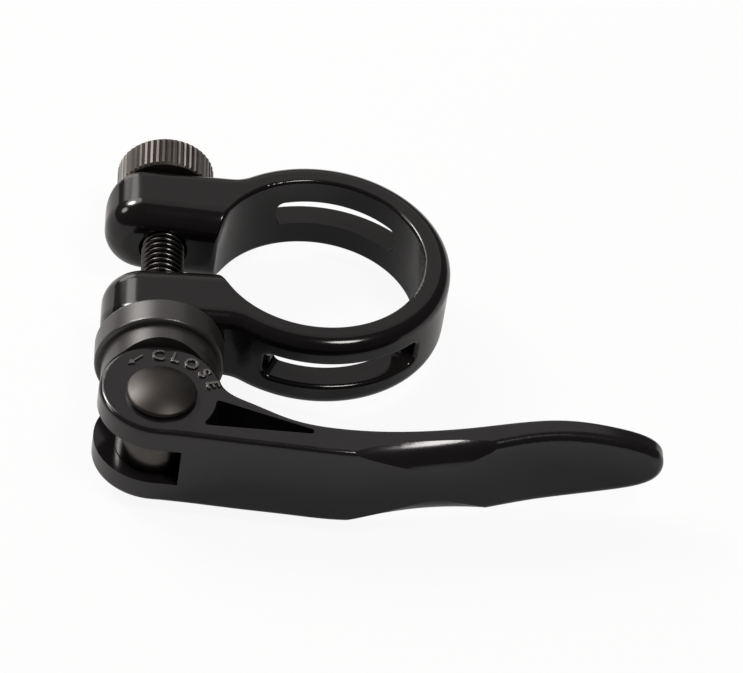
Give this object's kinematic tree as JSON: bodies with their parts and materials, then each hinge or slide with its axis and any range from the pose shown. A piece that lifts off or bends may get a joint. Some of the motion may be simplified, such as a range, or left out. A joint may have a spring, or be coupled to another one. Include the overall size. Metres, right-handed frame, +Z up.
{
  "type": "seatpost clamp",
  "caption": "Split collar clamp for a bicycle seat tube, drawn shut by a forked cam lever on an eye bolt with a knurled nut and a saddle washer.",
  "frame": {"origin": "centre of the collar's bore at half its height", "axes": "+Z up along the seat tube, +X along the closed lever, +Y from the lever towards the nut"},
  "size_m": [0.0765, 0.0588, 0.0174],
  "materials": {
    "collar": "gloss black coating",
    "eye_bolt": "black oxide",
    "adjusting_nut": "black oxide, knurled",
    "cam_washer": "satin black",
    "pivot_pin": "satin, darkened",
    "lever": "satin black coating"
  },
  "bodies": {
    "collar": {"collar": "collar"},
    "washer": {"cam_washer": "cam_washer"},
    "nut": {"adjusting_nut": "adjusting_nut"},
    "bolt": {"eye_bolt": "eye_bolt"},
    "lever": {"lever": "lever", "pivot_pin": "pivot_pin"}
  },
  "joints": [
    {"name": "bolt_swivel", "type": "hinge", "parent": "collar", "child": "washer", "pos_m": [-0.021, 0, 0], "axis": [0, 1, 0], "continuous": true},
    {"name": "nut_turn", "type": "hinge", "parent": "washer", "child": "nut", "pos_m": [-0.021, 0, 0], "axis": [0, 1, 0], "range_deg": [0, 1081]},
    {"name": "bolt_draw", "type": "slide", "parent": "washer", "child": "bolt", "axis": [0, -1, 0], "range_m": [0, 0.003]},
    {"name": "lever_swing", "type": "hinge", "parent": "bolt", "child": "lever", "pos_m": [-0.021, -0.0306, 0], "axis": [0, 0, -1], "range_deg": [0, 175]}
  ],
  "couplings": [
    {"joint": "nut_turn", "follows": "bolt_draw", "rad_per_m": 6283.2}
  ]
}
